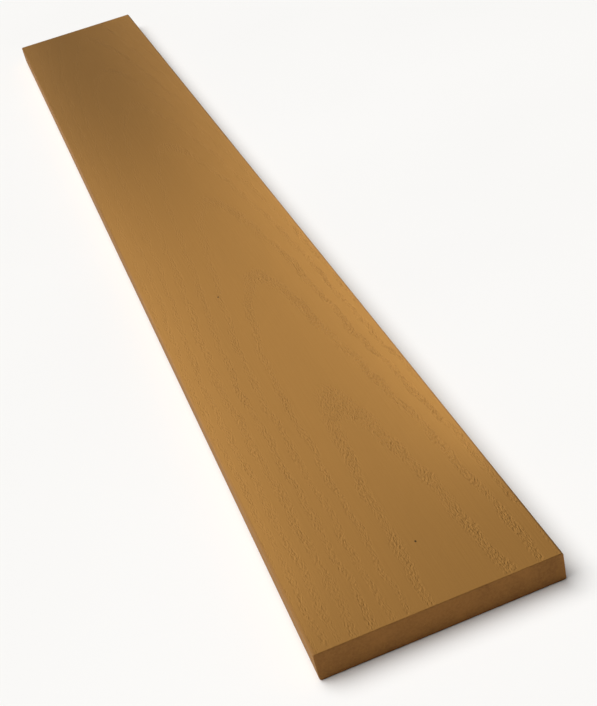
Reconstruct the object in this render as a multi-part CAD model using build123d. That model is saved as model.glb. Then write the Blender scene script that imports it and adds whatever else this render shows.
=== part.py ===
from build123d import *
import os

# Composite fence board: one solid extruded board, eased along its four long edges and sawn square at both ends.
# Millimetres. The origin is the middle of the underside, +X runs across the width, +Y along the length
# and +Z out of the show face.

# Driving dimensions
board_length = 1200.0
board_width = 150.0
board_thickness = 20.0

# Radius that the extrusion die leaves on each long edge
long_edge_radius = 1.5

# Width of the arris taken off the edges of each sawn end
end_arris = 0.3


def extruded_board():
    """Board as it leaves the die: the eased section drawn out along the length."""
    with BuildPart() as board:
        with BuildSketch(Plane.XZ):
            with Locations((0, board_thickness / 2)):
                RectangleRounded(board_width, board_thickness, long_edge_radius)
        extrude(amount=board_length / 2, both=True)
    return board.part


def sawn_to_length(board):
    """Board with the sharp rim of both sawn ends taken off."""
    end_faces = board.faces().filter_by(Axis.Y)
    return chamfer(end_faces.edges(), end_arris)


fence_board = sawn_to_length(extruded_board())

os.makedirs("parts", exist_ok=True)
export_step(fence_board, "parts/fence_board.step")
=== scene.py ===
"""Composite fence board: the embossed board and its materials, on a pale floor in studio light."""
import math

import bpy
import numpy as np
from bpy.props import FloatProperty, FloatVectorProperty, PointerProperty
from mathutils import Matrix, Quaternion, Vector, noise
from mathutils.geometry import delaunay_2d_cdt


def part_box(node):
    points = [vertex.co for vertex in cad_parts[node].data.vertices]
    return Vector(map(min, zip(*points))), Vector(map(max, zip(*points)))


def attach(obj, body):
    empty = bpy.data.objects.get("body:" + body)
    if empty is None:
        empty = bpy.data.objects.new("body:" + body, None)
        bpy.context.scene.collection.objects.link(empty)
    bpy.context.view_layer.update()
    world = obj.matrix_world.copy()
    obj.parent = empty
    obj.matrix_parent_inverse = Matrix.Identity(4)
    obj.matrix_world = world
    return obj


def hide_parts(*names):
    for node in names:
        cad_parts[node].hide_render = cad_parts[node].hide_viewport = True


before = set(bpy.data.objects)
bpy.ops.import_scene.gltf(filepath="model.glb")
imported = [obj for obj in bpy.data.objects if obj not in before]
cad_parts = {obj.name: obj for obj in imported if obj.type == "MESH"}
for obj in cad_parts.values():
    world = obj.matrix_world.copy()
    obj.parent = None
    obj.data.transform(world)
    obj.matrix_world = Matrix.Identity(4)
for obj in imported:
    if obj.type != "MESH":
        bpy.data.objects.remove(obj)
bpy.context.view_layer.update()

bl_info = {
    "name": "Composite Fence Board",
    "version": (1, 0, 0),
    "blender": (4, 5, 0),
    "location": "View3D > Sidebar > Fence Board",
    "description": "Builds a composite fence board with an embossed wood grain, and a studio stage for it",
    "category": "Add Mesh",
}

MM = 0.001
NODE = "fence_board"
LOW, HIGH = (np.array(corner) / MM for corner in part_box(NODE))
HALF_WIDTH = (HIGH[0] - LOW[0]) / 2
HALF_LENGTH = (HIGH[1] - LOW[1]) / 2
TOP = HIGH[2]

# The grain follows a flat-sawn plank. Its growth rings are circles round a heart line under the board, and
# where that line comes nearer the face, towards the near end, the rings open into nested arches. Millimetres.
# Each point is a place along the board and how far to the right of the middle the heart line lies there.
HEART_SIDE = [
    (-600, 19), (-480, 16), (-405, 13), (-340, 10), (-145, 13), (-30, 12), (130, 9), (360, 4), (600, 6)]
# Each point is a place along the board and how deep the heart line lies under the face there.
HEART_DEPTH = [(-600, 104.3), (-480, 105.6), (-392, 107), (-30, 116.4), (600, 137)]
# Distance of the innermost ring from the heart line.
FIRST_RING = 107.0
# The plank grew unevenly: each point is a distance from the heart line and how far to the right the rings
# there are moved.
RING_DRIFT = [(107, 0), (111.7, 4.2), (116.4, 5.0), (121.1, 4.5), (125.8, 2.2), (130.5, 0.5), (170, 0)]
# Waves of the heart line: how far each swings to the side, and the lengths along and across the board over
# which it turns by one radian.
WAVES = [(0.8, 13.7, 9.0), (0.6, 7.9, -6.1), (0.45, 4.7, 4.3)]

# A crinkled band lies along each ring. Its half width, measured away from the heart line, is the slack plus
# the reach times the sine of the angle between the ring and the face. Millimetres.
BAND_SLACK = 0.5
BAND_REACH = 2.0
# A band fades out between two shares of its half width, and a frame of flat points goes on to a third.
BAND_FADE = (0.5, 1.0)
BAND_FRAME = 1.12
# How deep the roller pressed the left and the right leg of each ring, from the innermost arch outwards, as a
# share of the common depth.
LEG_STRENGTHS = np.array([(0.9, 1.0), (0.85, 1.15), (0.75, 1.3), (0.8, 1.3), (0.75, 1.25)])
# Each point is a place along the board and the factor by which the legs are deeper or shallower there.
PRESSED_ALONG = [
    (-600, 0.7), (-520, 0.85), (-430, 1.1), (-280, 1.15), (-200, 1.1), (-130, 0.9), (-60, 0.75), (600, 0.65)]
# Each leg also comes and goes in waves along the board: how much, the lengths over which the waves turn by
# one radian, in millimetres, and how far they are ahead in the next ring and in the right leg, in radians.
CLUMP_SWING = 0.09
CLUMP_SPANS = (19.0, 7.3)
RING_PHASE = 2.1
LEG_PHASE = 1.3

# Crinkles are drawn out along the board, so they are laid out and joined up in a space that is shortened by
# this factor.
STRETCH = 2.2
# How far a point strays from its row, in steps, and how sharply the crinkles part into ridges and hollows.
JITTER = 0.35
CRINKLE_CONTRAST = 3.2

# Steps of the mesh: between points of the plain face, in millimetres, and how many there are along the edges,
# along the ends and round each edge.
FILLER_STEP = 8.0
EDGE_STEPS = 150
END_STEPS = 24
ARC_STEPS = 5
# The face is filled with triangles out to the convex hull of its points, and points that are nearer to each
# other than this, in millimetres, are joined.
CONVEX_HULL = 0
JOIN_DISTANCE = 1e-6
# Seed of the points' random places.
SEED = 20
# Shares that each point of the mesh carries for its materials: of the common depth, of a band and of dirt.
SHARES = ("depth_share", "band_share", "dirt")

# Dirt specks that have stuck to the face: place across and along the board, and radius. Millimetres.
SPECKS = [(7.5, -548.0, 0.8), (-18.8, -204.0, 0.95)]
# A speck's length against its width, the share of it that is dark all over, the points round it, and how many
# radii round it the rest of the mesh keeps clear.
SPECK_LENGTH = 1.4
SPECK_CORE = 0.6
SPECK_POINTS = 8
SPECK_CLEARANCE = 2

# Crinkles that are too fine to model are a bump: their size across and along the board and their swing, and
# the depth of the fibre lines between them. Millimetres.
FINE_CRINKLE = (0.75, 1.9)
FINE_SWING = 0.53
FIBRE_DEPTH = 0.1
# Depth of the die's lines in the skin, and of the roughness of the sawn ends. Millimetres.
LINE_DEPTH = 0.1
SAWN_DEPTH = 0.15
# Colour shares of the ridges' painted highlight, the hollows' painted shade, fibres, die lines, flecks and
# paint clouds.
RIDGE_HIGHLIGHT_TINT = 0.25
HOLLOW_SHADE_TINT = 0.05
FIBRE_TINT = 0.025
LINE_TINT = 0.3
FLECK_TINT = 0.35
PAINT_TINT = 0.05
# Parts of the noises that the patterns are drawn from. A noise seldom leaves its middle, and the product of
# two noises lies lower.
TONE_LOW, TONE_HIGH = 0.3, 0.7
FIBRE_LOW, FIBRE_HIGH = 0.35, 0.7
LINE_LOW, LINE_HIGH = 0.15, 0.4
FLECK_LOW, FLECK_HIGH = 0.12, 0.4
# The saw's teeth leave arcs round its shaft: how far below the board the shaft stood and how far apart the
# arcs lie, in millimetres, and how strong they are against the wood flour.
SHAFT_DEPTH = 130
ARC_SPACING = 2
ARC_SHARE = 0.35
# A wave texture turns by this many radians over one unit of its scale.
WAVE_RADIANS = 20
# Numbers of a mix node's colour sockets, because its other kinds of socket have the same names.
MIX_SHARE, MIX_FROM, MIX_TO, MIXED = 0, 6, 7, 2

# The studio floor is a wide disc, and a cove rises round it: the floor's height, which is just under the
# board, and the radius and height of each ring of the cove. Metres.
FLOOR_LEVEL = -0.0002
COVE_RINGS = [(6.0, 0.0), (7.0, 0.02), (9.0, 0.25), (13.0, 1.3), (20.0, 4.2), (40.0, 13.0)]
COVE_SIDES = 72
# Lamps over the board: width, and the places of the near and the far end. Metres.
LAMPS = {
    "left_strip": (0.03, Vector((-0.090, -0.580, 0.060)), Vector((-0.090, 0.900, 0.069))),
    "right_strip": (0.03, Vector((0.104, -0.503, 0.062)), Vector((0.104, 0.900, 0.133))),
    "softbox": (0.15, Vector((-0.025, -0.611, 0.451)), Vector((-0.025, 0.021, 0.451))),
}
# Where the two suns hang, which doesn't change their light. Metres.
SUN_PLACE = (0.0, 2.0, 2.0)
FLOOR_SUN_PLACE = (0.0, 0.0, 2.0)
# Angles that the two suns seem to fill, and the tilt of the floor's own sun, in degrees.
SUN_SPREAD = 10
FLOOR_SUN_SPREAD = 60
FLOOR_SUN_TILT = 25
# Width of the camera's sensor, in millimetres.
SENSOR_WIDTH = 36.0

# Kinds of face. The shading breaks where one kind meets another.
FLAT, CRINKLED, ROUND, EDGE, ARRIS, SAWN = range(6)
# Which of the embossed, the extruded and the sawn material each kind has.
MATERIAL_OF_KIND = np.array([0, 0, 1, 1, 2, 2])


def linear_rgb(hex_colour):
    """Linear red, green and blue of an sRGB hex colour."""
    channels = [int(hex_colour[i:i + 2], 16) / 255 for i in (1, 3, 5)]
    return [c / 12.92 if c <= 0.04045 else ((c + 0.055) / 1.055) ** 2.4 for c in channels]


class FenceBoardSizes(bpy.types.PropertyGroup):
    """Sizes of the board's edges and of its embossed grain"""

    edge_radius: FloatProperty(
        name="Edge radius", description="Radius along the four long edges", default=1.5 * MM, unit="LENGTH")
    end_arris: FloatProperty(
        name="End arris", description="Width taken off the rim of each sawn end",
        default=0.3 * MM, unit="LENGTH")
    ring_width: FloatProperty(
        name="Ring width", description="Distance between growth rings", default=4.7 * MM, unit="LENGTH")
    step_near: FloatProperty(
        name="Step, near", description="Distance across the board between the bands' points at the near end",
        default=0.5 * MM, unit="LENGTH")
    step_far: FloatProperty(
        name="Step, far", description="Distance across the board between the bands' points at the far end",
        default=0.94 * MM, unit="LENGTH")
    crinkle_span: FloatProperty(
        name="Crinkle span", description="Distance across the board over which the crinkles turn",
        default=1.05 * MM, unit="LENGTH")
    crinkle_depth: FloatProperty(
        name="Crinkle depth", description="Common depth of the crinkles", default=0.26 * MM, unit="LENGTH")


class FenceBoardColours(bpy.types.PropertyGroup):
    """Colours of the composite's surfaces"""

    face_light: FloatVectorProperty(
        name="Face, light", description="Paler streaks of the embossed face",
        default=linear_rgb("#9e7135"), subtype="COLOR")
    face_dark: FloatVectorProperty(
        name="Face, dark", description="Darker streaks of the embossed face",
        default=linear_rgb("#9b6f34"), subtype="COLOR")
    # The ridge colour is a painted highlight: the raised parts of the bands are painted paler with it.
    painted_ridge_highlight: FloatVectorProperty(
        name="Ridge", description="Ridges between the crinkles, rubbed paler by handling",
        default=linear_rgb("#b28140"), subtype="COLOR")
    # This colour is the dark of the fibre lines, die lines and flecks, and is also painted into the crinkles'
    # hollows as painted shade.
    dark_mark_and_hollow_shade: FloatVectorProperty(
        name="Hollow", description="Hollows of the crinkles, and dark lines and flecks of the other faces",
        default=linear_rgb("#5c3c1a"), subtype="COLOR")
    skin: FloatVectorProperty(
        name="Skin", description="Extruded skin of the edges and the underside",
        default=linear_rgb("#976b33"), subtype="COLOR")
    # The sawn colour is painted paler than the face, partly to stand in for light falling on the ends.
    sawn: FloatVectorProperty(
        name="Sawn end", description="Composite cut open by the saw",
        default=linear_rgb("#ab763c"), subtype="COLOR")
    speck: FloatVectorProperty(
        name="Speck", description="Dirt specks on the face", default=linear_rgb("#3d2a15"), subtype="COLOR")


class FenceBoardStage(bpy.types.PropertyGroup):
    """Floor, lights and camera"""

    floor_colour: FloatVectorProperty(
        name="Floor", description="Colour of the studio's floor and cove",
        default=linear_rgb("#f3f2f0"), subtype="COLOR")
    floor_shade: FloatVectorProperty(
        name="Floor, shaded", description="Colour of the faint clouds in the studio's paint",
        default=linear_rgb("#bcbcbc"), subtype="COLOR")
    sky_colour: FloatVectorProperty(
        name="Sky", description="Colour of the even light from all sides",
        default=linear_rgb("#ffffff"), subtype="COLOR")
    sky_strength: FloatProperty(
        name="Sky strength", description="Strength of the even light from all sides", default=0.04)
    sun_strength: FloatProperty(name="Sun", description="Strength of the main light", default=2.7)
    floor_strength: FloatProperty(
        name="Floor light", description="Strength of the floor's own light", default=3.6)
    sun_height: FloatProperty(
        name="Sun height", description="Height of the main light above the floor",
        default=math.radians(28), subtype="ANGLE")
    sun_turn: FloatProperty(
        name="Sun turn", description="How far the suns are turned from the far end towards the left",
        default=math.radians(50), subtype="ANGLE")
    left_strip: FloatProperty(
        name="Left strip", description="Power of the strip light on the left", default=0.136, unit="POWER")
    right_strip: FloatProperty(
        name="Right strip", description="Power of the strip light on the right", default=0.407, unit="POWER")
    softbox: FloatProperty(
        name="Softbox", description="Power of the softbox above the near half", default=1.54, unit="POWER")
    camera_place: FloatVectorProperty(
        name="Camera", description="Where the camera stands",
        default=(-0.1300, -1.0648, 0.5136), subtype="TRANSLATION")
    camera_target: FloatVectorProperty(
        name="Target", description="Point on the face that the camera looks at",
        default=(0.0114, -0.3207, 0.0200), subtype="TRANSLATION")
    camera_roll: FloatProperty(
        name="Roll", description="Turn of the camera about its view",
        default=math.radians(-14.33), subtype="ANGLE")
    camera_lens: FloatProperty(
        name="Lens", description="Focal length of the camera", default=63.10, unit="CAMERA")


def smooth_line(points, at):
    """Values of a smooth curve through points of place and value, read at the given places."""
    places, values = np.array(points, float).T
    slopes = np.gradient(values, places)
    i = np.clip(np.searchsorted(places, at) - 1, 0, len(places) - 2)
    span = places[i + 1] - places[i]
    t = (at - places[i]) / span
    rise = t * t * (3 - 2 * t)
    leave = t * (1 - t) ** 2 * span * slopes[i]
    arrive = t * t * (t - 1) * span * slopes[i + 1]
    return values[i] + rise * (values[i + 1] - values[i]) + leave + arrive


def from_heart(x, y):
    """How far a point of the face lies to the side of the heart line, and its distance from that line."""
    waves = sum(swing * np.sin(y / along + x / across) for swing, along, across in WAVES)
    side = x + waves - smooth_line(HEART_SIDE, y)
    depth = smooth_line(HEART_DEPTH, y)
    side = side - np.interp(np.hypot(side, depth), *np.array(RING_DRIFT).T)
    return side, np.hypot(side, depth)


def off_band(x, y, ring_width):
    """How far a point of the face lies from the middle of the nearest band, in half widths of that band."""
    side, distance = from_heart(x, y)
    ring = (distance - FIRST_RING) / ring_width
    off_ring = np.abs(ring - np.maximum(np.rint(ring), 0)) * ring_width
    return off_ring / (BAND_SLACK + BAND_REACH * np.abs(side) / distance)


def band_strength(x, y, ring_width):
    """How deep the nearest band is pressed at each point, as a share of the common depth."""
    side, distance = from_heart(x, y)
    nearest = np.maximum(np.rint((distance - FIRST_RING) / ring_width), 0).astype(int)
    leg = (side > 0).astype(int)
    pressed = LEG_STRENGTHS[np.minimum(nearest, len(LEG_STRENGTHS) - 1), leg]
    pressed = pressed * smooth_line(PRESSED_ALONG, y)
    phase = RING_PHASE * nearest + LEG_PHASE * leg
    clump = sum(np.sin(y / span + phase) for span in CLUMP_SPANS)
    return pressed * (1 - CLUMP_SWING * (len(CLUMP_SPANS) - clump))


def clear_of_specks(x, y):
    """Whether each point of the face lies well outside all the dirt specks."""
    clear = np.ones(len(x), bool)
    for speck_x, speck_y, radius in SPECKS:
        clear &= np.hypot(x - speck_x, (y - speck_y) / STRETCH) > SPECK_CLEARANCE * radius
    return clear


def crinkle_points(sizes, flat_x, flat_y, rng):
    """Points of the crinkled bands and their flat frames: x, shortened y, depth share and band share."""
    ring_width, span = sizes.ring_width / MM, sizes.crinkle_span / MM
    rows = []
    middle = -flat_y / STRETCH
    while True:
        step = np.interp(middle * STRETCH, (-flat_y, flat_y), (sizes.step_near / MM, sizes.step_far / MM))
        middle += step
        if middle > flat_y / STRETCH - step:
            break
        across = np.arange(step - flat_x, flat_x - step, step)
        row = np.stack([across, np.full(len(across), middle)], axis=1)
        rows.append(row + step * rng.uniform(-JITTER, JITTER, row.shape))
    x, v = np.vstack(rows).T
    off = off_band(x, v * STRETCH, ring_width)
    kept = (off < BAND_FRAME) & clear_of_specks(x, v * STRETCH)
    x, v, off = x[kept], v[kept], off[kept]
    cover = np.interp(off, BAND_FADE, (1.0, 0.0)) * band_strength(x, v * STRETCH, ring_width)
    crinkle = np.array([noise.noise((across / span, along / span, 0.0)) for across, along in zip(x, v)])
    share = np.clip(CRINKLE_CONTRAST * crinkle, 0, 1)
    return np.stack([x, v, cover * share, cover], axis=1)


def filler_points(sizes, flat_x, flat_y):
    """Points of the plain face between the bands: x and shortened y."""
    columns = np.arange(FILLER_STEP - flat_x, flat_x - FILLER_STEP / 2, FILLER_STEP)
    rows = np.arange(FILLER_STEP - flat_y / STRETCH, flat_y / STRETCH - FILLER_STEP / 2, FILLER_STEP)
    x, v = np.stack(np.meshgrid(columns, rows), axis=2).reshape(-1, 2).T
    plain = off_band(x, v * STRETCH, sizes.ring_width / MM) > BAND_FRAME
    plain &= clear_of_specks(x, v * STRETCH)
    return np.stack([x[plain], v[plain]], axis=1)


def speck_points(share):
    """Points of a ring inside each dirt speck, at a share of its radius: x and shortened y."""
    turns = 2 * np.pi * np.arange(SPECK_POINTS) / SPECK_POINTS
    rings = []
    for x, y, radius in SPECKS:
        reach = share * radius
        rings.append((x + reach * np.cos(turns), (y + reach * SPECK_LENGTH * np.sin(turns)) / STRETCH))
    return np.hstack(rings).T


def face_points(sizes, flat_x, flat_y, rng):
    """Points of the embossed face: x, shortened y, and shares of the common depth, of a band and of dirt."""
    groups = [
        (crinkle_points(sizes, flat_x, flat_y, rng), 0),
        (filler_points(sizes, flat_x, flat_y), 0),
        (speck_points(1.0), 0),
        (speck_points(SPECK_CORE), 1),
    ]
    rows = []
    for places, dirt in groups:
        row = np.zeros((len(places), 2 + len(SHARES)))
        row[:, :places.shape[1]] = places
        row[:, -1] = dirt
        rows.append(row)
    return np.vstack(rows)


def section_points(radius, inset):
    """The board's section from its top right to its top left edge, by way of the underside, as x and z."""
    reach = HALF_WIDTH - radius
    centres = [(reach, TOP - radius), (reach, radius), (-reach, radius), (-reach, TOP - radius)]
    points = []
    for quarter, (x, z) in enumerate(centres):
        for step in range(ARC_STEPS + 1):
            turn = math.pi / 2 * (1 - quarter - step / ARC_STEPS)
            points.append((x + (radius - inset) * math.cos(turn), z + (radius - inset) * math.sin(turn)))
    return points


def board_mesh(sizes, rng):
    """Points, faces and kinds of face of the whole board, with each point's shares. Millimetres."""
    radius, arris = sizes.edge_radius / MM, sizes.end_arris / MM
    flat_x, flat_y = HALF_WIDTH - radius, HALF_LENGTH - arris
    along = np.linspace(-flat_y, flat_y, EDGE_STEPS + 1)
    across = np.linspace(-flat_x, flat_x, END_STEPS + 1)

    # Border of the show face: its right and its left edge, and its near and its far end between them.
    border = [(flat_x, y) for y in along] + [(-flat_x, y) for y in along]
    border += [(x, -flat_y) for x in across[1:-1]] + [(x, flat_y) for x in across[1:-1]]
    right = list(range(EDGE_STEPS + 1))
    left = [EDGE_STEPS + 1 + i for i in right]
    near_row = [2 * (EDGE_STEPS + 1) + i for i in range(END_STEPS - 1)]
    far_row = [i + END_STEPS - 1 for i in near_row]

    # The show face itself, with the crinkles pressed into it.
    inner = face_points(sizes, flat_x, flat_y, rng)
    flat_places = np.vstack([np.array(border) / (1, STRETCH), inner[:, :2]])
    shares = np.vstack([np.zeros((len(border), len(SHARES))), inner[:, 2:]])
    filled = delaunay_2d_cdt([Vector(p) for p in flat_places], [], [], CONVEX_HULL, JOIN_DISTANCE)
    _, _, triangles, came_from, _, _ = filled
    faces = [[came_from[corner][0] for corner in triangle] for triangle in triangles]
    heights = TOP - shares[:, 0] * sizes.crinkle_depth / MM
    points = [(x, v * STRETCH, z) for (x, v), z in zip(flat_places, heights)]
    kinds = [CRINKLED if any(shares[corner, 0] > 0 for corner in face) else FLAT for face in faces]

    # The long sides and the underside, drawn out along the board, with one flat stretch after each rounding.
    section = section_points(radius, 0)
    rows = []
    for right_point, left_point, y in zip(right, left, along):
        first = len(points)
        points += [(x, y, z) for x, z in section[1:-1]]
        rows.append([right_point, *range(first, len(points)), left_point])
    for row, next_row in zip(rows, rows[1:]):
        for i in range(len(row) - 1):
            faces.append([row[i], row[i + 1], next_row[i + 1], next_row[i]])
            kinds.append(EDGE if i % (ARC_STEPS + 1) == ARC_STEPS else ROUND)

    # The sawn ends, each inside its arris.
    trimmed = section_points(radius, arris) + [(x, TOP - arris) for x in across[1:-1]]
    ends = ((rows[0] + near_row, -HALF_LENGTH, True), (rows[-1] + far_row, HALF_LENGTH, False))
    for rim, end_y, near in ends:
        first = len(points)
        points += [(x, end_y, z) for x, z in trimmed]
        inner_rim = list(range(first, len(points)))
        for i in range(len(rim)):
            j = (i + 1) % len(rim)
            corners = [rim[i], inner_rim[i], inner_rim[j], rim[j]]
            faces.append(corners if near else corners[::-1])
            kinds.append(ARRIS)
        faces.append(inner_rim[::-1] if near else inner_rim)
        kinds.append(SAWN)
    full_shares = np.zeros((len(points), len(SHARES)))
    full_shares[:len(shares)] = shares
    return np.array(points), faces, np.array(kinds), full_shares


def break_shading(mesh, kinds):
    """Marks the edges where two kinds of face meet as sharp, so that flat faces keep their flat shading."""
    face_of_corner = np.repeat(np.arange(len(kinds)), [len(face.vertices) for face in mesh.polygons])
    edge_of_corner = np.empty(len(mesh.loops), np.int32)
    mesh.loops.foreach_get("edge_index", edge_of_corner)
    lowest = np.full(len(mesh.edges), kinds.max())
    highest = np.zeros(len(mesh.edges), int)
    np.minimum.at(lowest, edge_of_corner, kinds[face_of_corner])
    np.maximum.at(highest, edge_of_corner, kinds[face_of_corner])
    mesh.attributes.new("sharp_edge", "BOOLEAN", "EDGE").data.foreach_set("value", lowest != highest)


def add_node(tree, kind, inputs=None, **settings):
    """Adds a node with its settings, and links or sets its inputs by name or number."""
    node = tree.nodes.new(kind)
    for name, value in settings.items():
        setattr(node, name, value)
    for name, source in (inputs or {}).items():
        if isinstance(source, bpy.types.NodeSocket):
            tree.links.new(source, node.inputs[name])
        else:
            node.inputs[name].default_value = source
    return node


def start_material(name, roughness):
    """A new matte material, its node tree, its shader and the coordinates of the object that wears it."""
    material = bpy.data.materials.new(name)
    material.use_nodes = True
    tree = material.node_tree
    tree.nodes.clear()
    shader = add_node(tree, "ShaderNodeBsdfPrincipled", {
        "Roughness": roughness, "IOR": 1.5, "Specular IOR Level": 0.2})
    add_node(tree, "ShaderNodeOutputMaterial", {"Surface": shader.outputs["BSDF"]})
    return material, tree, shader, add_node(tree, "ShaderNodeTexCoord").outputs["Object"]


def streaks(tree, place, across, along, detail=2.0):
    """A noise from 0 to 1 whose spots are drawn out along the board, to real sizes in millimetres."""
    scale = (1 / (across * MM), 1 / (along * MM), 1 / (across * MM))
    spots = add_node(tree, "ShaderNodeMapping", {"Vector": place, "Scale": scale})
    spotted = add_node(tree, "ShaderNodeTexNoise", {
        "Vector": spots.outputs[0], "Scale": 1.0, "Detail": detail})
    return spotted.outputs[0]


def rgba(colour):
    """A colour property as the four numbers of a colour socket."""
    return (*colour, 1.0)


def embossed_composite(colours):
    """Wood-plastic composite pressed by a grain roller: matte brown, faint streaks, crinkled bands with a
    painted highlight on their ridges and painted shade in their hollows.
    """
    material, tree, shader, place = start_material("embossed_wood_plastic_composite", roughness=0.85)
    depth, band, dirt = (
        add_node(tree, "ShaderNodeAttribute", attribute_name=name).outputs["Fac"] for name in SHARES)
    tone = streaks(tree, place, across=40, along=300)
    # Fibres are finer than this in the real skin, and are drawn coarser so that they show.
    fibre = streaks(tree, place, across=1.2, along=40)
    mixed = add_node(tree, "ShaderNodeMapRange", {
        "Value": tone, "From Min": TONE_LOW, "From Max": TONE_HIGH})
    face = add_node(tree, "ShaderNodeMix", {
        MIX_SHARE: mixed.outputs[0], MIX_FROM: rgba(colours.face_light), MIX_TO: rgba(colours.face_dark)},
        data_type="RGBA")
    thread = add_node(tree, "ShaderNodeMapRange", {
        "Value": fibre, "From Min": FIBRE_LOW, "From Max": FIBRE_HIGH, "To Max": FIBRE_TINT})
    # Painted highlight: where a band stands above its hollows, it is painted paler.
    raised = add_node(tree, "ShaderNodeMath", {0: band, 1: depth}, operation="SUBTRACT")
    ridge_highlight = add_node(tree, "ShaderNodeMath", {0: raised.outputs[0], 1: RIDGE_HIGHLIGHT_TINT}, operation="MULTIPLY")
    # Painted shade: the hollows of the crinkles are painted darker by their depth.
    pressed = add_node(tree, "ShaderNodeMath", {0: depth, 1: HOLLOW_SHADE_TINT}, operation="MULTIPLY")
    layers = (
        (thread.outputs[0], colours.dark_mark_and_hollow_shade),
        (ridge_highlight.outputs[0], colours.painted_ridge_highlight),
        (pressed.outputs[0], colours.dark_mark_and_hollow_shade),
        (dirt, colours.speck),
    )
    for share, colour in layers:
        face = add_node(tree, "ShaderNodeMix", {
            MIX_SHARE: share, MIX_FROM: face.outputs[MIXED], MIX_TO: rgba(colour)}, data_type="RGBA")
    tree.links.new(face.outputs[MIXED], shader.inputs["Base Color"])

    swing = FINE_SWING / FIBRE_DEPTH
    crinkle = streaks(tree, place, *FINE_CRINKLE, detail=1.0)
    crinkle = add_node(tree, "ShaderNodeMapRange", {"Value": crinkle, "To Min": -swing, "To Max": swing})
    crinkle = add_node(tree, "ShaderNodeMath", {0: crinkle.outputs[0], 1: band}, operation="MULTIPLY")
    relief = add_node(tree, "ShaderNodeMath", {0: fibre, 1: crinkle.outputs[0]}, operation="ADD")
    bump = add_node(tree, "ShaderNodeBump", {
        "Strength": 1.0, "Distance": FIBRE_DEPTH * MM, "Height": relief.outputs[0]})
    tree.links.new(bump.outputs[0], shader.inputs["Normal"])
    return material


def extruded_composite(colours):
    """Skin that the die leaves on the edges and the underside: smooth, with fine lines along the board."""
    material, tree, shader, place = start_material("extruded_wood_plastic_composite", roughness=0.8)
    # Lines from the die are finer than this, and are drawn coarser so that they show.
    lines = streaks(tree, place, across=0.9, along=320)
    tone = streaks(tree, place, across=14, along=180)
    weight = add_node(tree, "ShaderNodeMath", {0: lines, 1: tone}, operation="MULTIPLY")
    drawn = add_node(tree, "ShaderNodeMapRange", {
        "Value": weight.outputs[0], "From Min": LINE_LOW, "From Max": LINE_HIGH, "To Max": LINE_TINT})
    face = add_node(tree, "ShaderNodeMix", {
        MIX_SHARE: drawn.outputs[0], MIX_FROM: rgba(colours.skin), MIX_TO: rgba(colours.dark_mark_and_hollow_shade)},
        data_type="RGBA")
    tree.links.new(face.outputs[MIXED], shader.inputs["Base Color"])
    bump = add_node(tree, "ShaderNodeBump", {
        "Strength": 0.4, "Distance": LINE_DEPTH * MM, "Height": lines})
    tree.links.new(bump.outputs[0], shader.inputs["Normal"])
    return material


def sawn_composite(colours):
    """The cut ends: rougher than the skin, with flecks of wood flour and faint arcs from the saw, in the cut
    composite's colour painted paler than the face, partly to stand in for light on the ends.
    """
    material, tree, shader, place = start_material("sawn_wood_plastic_composite", roughness=0.9)
    # Wood flour is finer than this, and is drawn coarser so that it shows.
    flour = streaks(tree, place, across=1.4, along=1.4, detail=3.0)
    cloud = streaks(tree, place, across=16, along=16)
    weight = add_node(tree, "ShaderNodeMath", {0: flour, 1: cloud}, operation="MULTIPLY")
    fleck = add_node(tree, "ShaderNodeMapRange", {
        "Value": weight.outputs[0], "From Min": FLECK_LOW, "From Max": FLECK_HIGH, "To Max": FLECK_TINT})
    face = add_node(tree, "ShaderNodeMix", {
        MIX_SHARE: fleck.outputs[0], MIX_FROM: rgba(colours.sawn), MIX_TO: rgba(colours.dark_mark_and_hollow_shade)},
        data_type="RGBA")
    tree.links.new(face.outputs[MIXED], shader.inputs["Base Color"])
    shaft = add_node(tree, "ShaderNodeMapping", {"Vector": place, "Location": (0.0, 0.0, SHAFT_DEPTH * MM)})
    arc_scale = 2 * math.pi / (WAVE_RADIANS * ARC_SPACING * MM)
    arcs = add_node(tree, "ShaderNodeTexWave", {
        "Vector": shaft.outputs[0], "Scale": arc_scale, "Distortion": 1.5},
        wave_type="RINGS", rings_direction="Y")
    score = add_node(tree, "ShaderNodeMath", {0: arcs.outputs["Fac"], 1: ARC_SHARE}, operation="MULTIPLY")
    rough = add_node(tree, "ShaderNodeMath", {0: score.outputs[0], 1: flour}, operation="ADD")
    bump = add_node(tree, "ShaderNodeBump", {
        "Strength": 0.35, "Distance": SAWN_DEPTH * MM, "Height": rough.outputs[0]})
    tree.links.new(bump.outputs[0], shader.inputs["Normal"])
    return material


class FENCE_OT_embossed_board(bpy.types.Operator):
    """Build the board with its pressed grain, eased long edges and sawn ends"""

    bl_idname = "fence.embossed_board"
    bl_label = "Embossed Board"

    def execute(self, context):
        sizes, colours = context.scene.fence_sizes, context.scene.fence_colours
        points, faces, kinds, shares = board_mesh(sizes, np.random.default_rng(SEED))
        mesh = bpy.data.meshes.new("embossed_board")
        mesh.from_pydata(points * MM, [], faces)
        mesh.polygons.foreach_set("material_index", MATERIAL_OF_KIND[kinds].astype(np.int32))
        mesh.polygons.foreach_set("use_smooth", kinds != CRINKLED)
        break_shading(mesh, kinds)
        for name, values in zip(SHARES, shares.T):
            attribute = mesh.attributes.new(name, "FLOAT", "POINT")
            attribute.data.foreach_set("value", values.astype(np.float32))
        for material in (embossed_composite(colours), extruded_composite(colours), sawn_composite(colours)):
            mesh.materials.append(material)
        mesh.update()
        board = bpy.data.objects.new("embossed_board", mesh)
        context.collection.objects.link(board)
        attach(board, "root")
        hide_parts(NODE)
        return {"FINISHED"}


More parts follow.
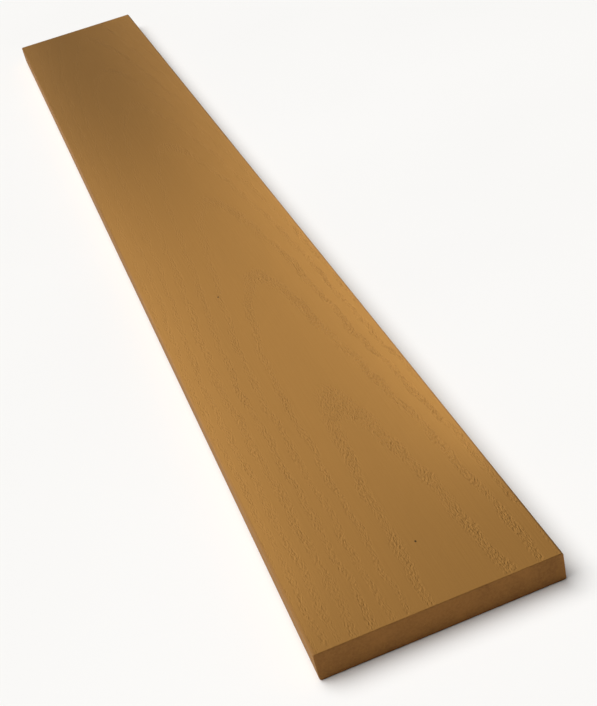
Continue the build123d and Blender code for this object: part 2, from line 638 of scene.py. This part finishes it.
def studio_paint(stage):
    """Paint of the studio's floor and cove: matte, pale and very slightly uneven in tone."""
    material, tree, shader, place = start_material("matte_studio_paint", roughness=0.9)
    tone = streaks(tree, place, across=400, along=400)
    uneven = add_node(tree, "ShaderNodeMapRange", {
        "Value": tone, "From Min": TONE_LOW, "From Max": TONE_HIGH, "To Max": PAINT_TINT})
    paint = add_node(tree, "ShaderNodeMix", {
        MIX_SHARE: uneven.outputs[0], MIX_FROM: rgba(stage.floor_colour), MIX_TO: rgba(stage.floor_shade)},
        data_type="RGBA")
    tree.links.new(paint.outputs[MIXED], shader.inputs["Base Color"])
    return material


def add_studio_piece(context, name, points, faces, paint):
    """Adds the floor or the cove, which aren't part of the board."""
    mesh = bpy.data.meshes.new(name)
    mesh.from_pydata(points, [], faces)
    mesh.materials.append(paint)
    mesh.shade_smooth()
    piece = bpy.data.objects.new(name, mesh)
    context.collection.objects.link(piece)
    return piece


def add_studio(context, paint):
    """Lays the floor and raises the cove round it."""
    turns = [2 * math.pi * i / COVE_SIDES for i in range(COVE_SIDES)]
    points = [(radius * math.cos(turn), radius * math.sin(turn), FLOOR_LEVEL + height)
              for radius, height in COVE_RINGS for turn in turns]
    floor = add_studio_piece(context, "studio_floor", points[:COVE_SIDES], [range(COVE_SIDES)], paint)
    walls = []
    for first in range(0, COVE_SIDES * (len(COVE_RINGS) - 1), COVE_SIDES):
        for i in range(COVE_SIDES):
            j = (i + 1) % COVE_SIDES
            walls.append((first + i, first + COVE_SIDES + i, first + COVE_SIDES + j, first + j))
    cove = add_studio_piece(context, "studio_cove", points, walls, paint)
    # The cove is only a background, so it throws no light back on the board.
    cove.visible_diffuse = False
    cove.visible_glossy = False
    return floor, cove


def set_sky(context, stage):
    """Lights the scene evenly from all sides."""
    world = bpy.data.worlds.new("studio_sky")
    world.use_nodes = True
    background = world.node_tree.nodes["Background"]
    background.inputs["Color"].default_value = rgba(stage.sky_colour)
    background.inputs["Strength"].default_value = stage.sky_strength
    context.scene.world = world


def add_light(context, name, kind, place, power):
    """Adds a light that the camera doesn't see, pointing straight down."""
    data = bpy.data.lights.new(name, kind)
    data.energy = power
    light = bpy.data.objects.new(name, data)
    light.location = place
    light.visible_camera = False
    context.collection.objects.link(light)
    return light


def aim_light(light, studio, state):
    """Lets a light reach only the studio, with INCLUDE, or everything but the studio, with EXCLUDE."""
    reach = bpy.data.collections.new(light.name + "_reach")
    for piece in studio:
        reach.objects.link(piece)
    for entry in reach.collection_objects:
        entry.light_linking.link_state = state
    light.light_linking.receiver_collection = reach


def add_suns(context, stage, studio):
    """Adds the board's main light, and a softer sun for the studio alone."""
    sun = add_light(context, "main_sun", "SUN", SUN_PLACE, stage.sun_strength)
    sun.data.angle = math.radians(SUN_SPREAD)
    sun.rotation_euler = (stage.sun_height - math.pi / 2, 0.0, stage.sun_turn)
    floor_light = add_light(context, "floor_light", "SUN", FLOOR_SUN_PLACE, stage.floor_strength)
    floor_light.data.angle = math.radians(FLOOR_SUN_SPREAD)
    floor_light.rotation_euler = (math.radians(-FLOOR_SUN_TILT), 0.0, stage.sun_turn)
    aim_light(sun, studio, "EXCLUDE")
    aim_light(floor_light, studio, "INCLUDE")


def add_lamps(context, stage, studio):
    """Adds the lamps over the board, each tilted to reach from its near to its far end."""
    for name, (width, near, far) in LAMPS.items():
        lamp = add_light(context, name, "AREA", (near + far) / 2, getattr(stage, name))
        lamp.data.shape = "RECTANGLE"
        lamp.data.size = width
        lamp.data.size_y = (far - near).length
        lamp.rotation_euler.x = math.atan2(far.z - near.z, far.y - near.y)
        aim_light(lamp, studio, "EXCLUDE")


def add_camera(context, stage):
    """Sets up the camera, turned to its target and rolled about its view."""
    data = bpy.data.cameras.new("camera")
    data.lens = stage.camera_lens
    data.sensor_width = SENSOR_WIDTH
    camera = bpy.data.objects.new("camera", data)
    camera.location = stage.camera_place
    camera.rotation_mode = "QUATERNION"
    look = Vector(stage.camera_target) - Vector(stage.camera_place)
    roll = Quaternion((0.0, 0.0, 1.0), stage.camera_roll)
    camera.rotation_quaternion = look.to_track_quat("-Z", "Y") @ roll
    context.collection.objects.link(camera)
    context.scene.camera = camera


class FENCE_OT_stage(bpy.types.Operator):
    """Lay the floor and set up the lights and the camera"""

    bl_idname = "fence.stage"
    bl_label = "Studio Stage"

    def execute(self, context):
        stage = context.scene.fence_stage
        studio = add_studio(context, studio_paint(stage))
        set_sky(context, stage)
        add_suns(context, stage, studio)
        add_lamps(context, stage, studio)
        add_camera(context, stage)
        context.scene.view_settings.view_transform = "Standard"
        return {"FINISHED"}


class FENCE_PT_sidebar(bpy.types.Panel):
    """Sizes, colours and steps of the fence board"""

    bl_idname = "FENCE_PT_sidebar"
    bl_label = "Fence Board"
    bl_space_type = "VIEW_3D"
    bl_region_type = "UI"
    bl_category = "Fence Board"

    def draw(self, context):
        groups = (
            (context.scene.fence_sizes, FENCE_OT_embossed_board.bl_idname),
            (context.scene.fence_colours, None),
            (context.scene.fence_stage, FENCE_OT_stage.bl_idname),
        )
        for group, operator in groups:
            box = self.layout.box()
            for name in group.__annotations__:
                box.prop(group, name)
            if operator:
                box.operator(operator)


PROPERTY_GROUPS = {
    "fence_sizes": FenceBoardSizes, "fence_colours": FenceBoardColours, "fence_stage": FenceBoardStage}
CLASSES = (*PROPERTY_GROUPS.values(), FENCE_OT_embossed_board, FENCE_OT_stage, FENCE_PT_sidebar)


def register():
    """Registers the classes, and hangs the settings on the scene."""
    for each in CLASSES:
        bpy.utils.register_class(each)
    for name, group in PROPERTY_GROUPS.items():
        setattr(bpy.types.Scene, name, PointerProperty(type=group))


def unregister():
    """Takes back what register adds."""
    for name in PROPERTY_GROUPS:
        delattr(bpy.types.Scene, name)
    for each in reversed(CLASSES):
        bpy.utils.unregister_class(each)


def main():
    """Builds the board and its stage."""
    register()
    bpy.ops.fence.embossed_board()
    bpy.ops.fence.stage()


if __name__ == "__main__":
    main()
